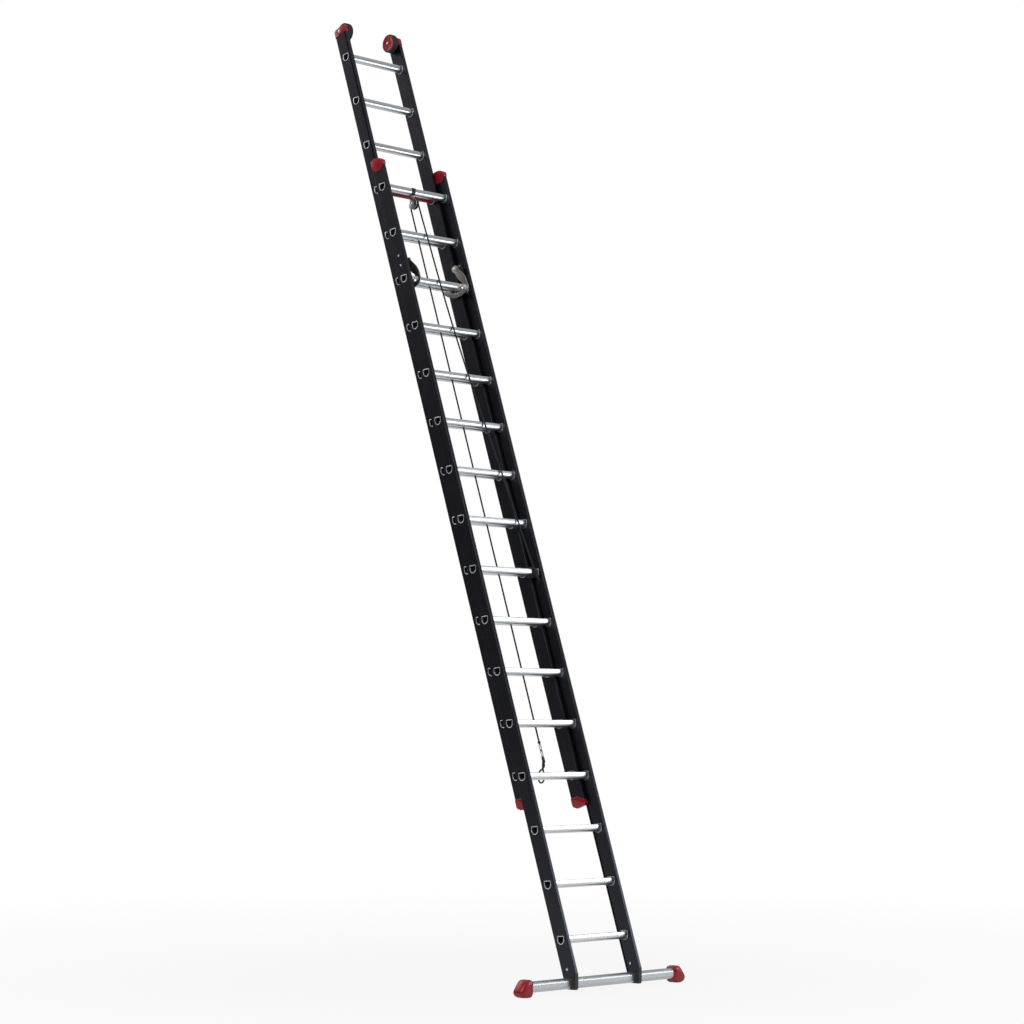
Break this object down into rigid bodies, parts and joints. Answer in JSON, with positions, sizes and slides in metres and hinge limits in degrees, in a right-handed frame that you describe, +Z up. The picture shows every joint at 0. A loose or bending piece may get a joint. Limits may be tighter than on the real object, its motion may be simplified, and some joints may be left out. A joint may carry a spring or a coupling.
{
  "type": "extension ladder",
  "caption": "Rope-operated extension ladder of two nesting sections with latching hooks, pulley, wall wheels and a wide cross bar at its foot.",
  "frame": {"origin": "on the floor, at the middle of the standing ladder's footprint box", "axes": "+X along the rungs to the climber's right, +Y away from the climber towards the wall, +Z up"},
  "size_m": [1.174, 1.9224, 5.2279],
  "materials": {
    "rung_aluminium": "satin, fine lines along the rung",
    "red_rung": "red powder coat",
    "stile_coating": "anthracite anodised, satin",
    "red_plastic": "semi-gloss moulded",
    "black_plastic": "fine moulded grain",
    "bar_aluminium": "satin extrusion",
    "hook_steel": "bare steel, bright edge",
    "fastener_steel": "zinc plated",
    "zinc_plate": "bright zinc plate",
    "tyre_rubber": "matt moulded rubber",
    "red_hub": "semi-gloss moulded",
    "black_rope": "braided"
  },
  "bodies": {
    "base_section": {"base_rung_01": "rung_aluminium", "base_rung_02": "rung_aluminium", "base_rung_03": "rung_aluminium", "base_rung_04": "rung_aluminium", "base_rung_05": "rung_aluminium", "base_rung_06": "rung_aluminium", "base_rung_07": "rung_aluminium", "base_rung_08": "rung_aluminium", "base_rung_09": "rung_aluminium", "base_rung_10": "rung_aluminium", "base_rung_11": "rung_aluminium", "base_rung_12": "rung_aluminium", "base_rung_13": "rung_aluminium", "base_rung_14": "rung_aluminium", "base_rung_15": "rung_aluminium", "base_rung_16": "rung_aluminium", "base_stile_left": "stile_coating", "base_stile_right": "stile_coating", "base_top_cap_left": "red_plastic", "base_top_cap_right": "red_plastic", "foot_bracket_left": "black_plastic", "foot_bracket_right": "black_plastic", "bracket_bolts": "fastener_steel", "stabiliser_bar": "bar_aluminium", "stabiliser_foot_left": "red_plastic", "stabiliser_foot_right": "red_plastic", "hook_brackets": "black_plastic", "hook_bolts": "fastener_steel", "hook_pins": "fastener_steel", "pulley_clip": "black_plastic", "pulley_cheeks": "zinc_plate", "pulley_axle": "fastener_steel", "rope_haul_leg": "black_rope", "rope_free_leg": "black_rope", "rope_end_knot": "black_rope"},
    "fly_section": {"fly_rungs_01_02": "rung_aluminium", "fly_rungs_03_04": "rung_aluminium", "fly_rungs_05_06": "rung_aluminium", "fly_rungs_07_08": "rung_aluminium", "fly_rungs_09_10": "rung_aluminium", "fly_rungs_11_12": "rung_aluminium", "fly_rung_13": "red_rung", "fly_rungs_14_15": "rung_aluminium", "fly_rung_16": "rung_aluminium", "fly_stile_left": "stile_coating", "fly_stile_right": "stile_coating", "fly_top_cap_left": "red_plastic", "fly_top_cap_right": "red_plastic", "fly_foot_left": "red_plastic", "fly_foot_right": "red_plastic", "wheel_axles": "fastener_steel", "rope_loop": "black_rope", "rope_ferrules": "zinc_plate"},
    "left_hook": {"hook_left": "hook_steel"},
    "right_hook": {"hook_right": "hook_steel"},
    "pulley_wheel": {"sheave": "black_plastic"},
    "left_wheel": {"wheel_tyre_left": "tyre_rubber", "wheel_hub_left": "red_hub"},
    "right_wheel": {"wheel_tyre_right": "tyre_rubber", "wheel_hub_right": "red_hub"}
  },
  "joints": [
    {"name": "fly_slide", "type": "slide", "parent": "base_section", "child": "fly_section", "axis": [0, 0.3256, 0.9455], "range_m": [-0.84, 2.52], "deforming": ["rope_haul_leg"]},
    {"name": "hook_left_swing", "type": "hinge", "parent": "base_section", "child": "left_hook", "pos_m": [-0.172, 0.36212, 3.80202], "axis": [-1, 0, 0], "range_deg": [0, 36]},
    {"name": "hook_right_swing", "type": "hinge", "parent": "base_section", "child": "right_hook", "pos_m": [0.172, 0.36212, 3.80202], "axis": [-1, 0, 0], "range_deg": [0, 36]},
    {"name": "sheave_spin", "type": "hinge", "parent": "base_section", "child": "pulley_wheel", "pos_m": [-0.024, 0.4866, 4.15894], "axis": [1, 0, 0], "continuous": true},
    {"name": "wheel_left_spin", "type": "hinge", "parent": "fly_section", "child": "left_wheel", "pos_m": [-0.1665, 0.90921, 5.17588], "axis": [1, 0, 0], "continuous": true},
    {"name": "wheel_right_spin", "type": "hinge", "parent": "fly_section", "child": "right_wheel", "pos_m": [0.1665, 0.90921, 5.17588], "axis": [1, 0, 0], "continuous": true}
  ]
}
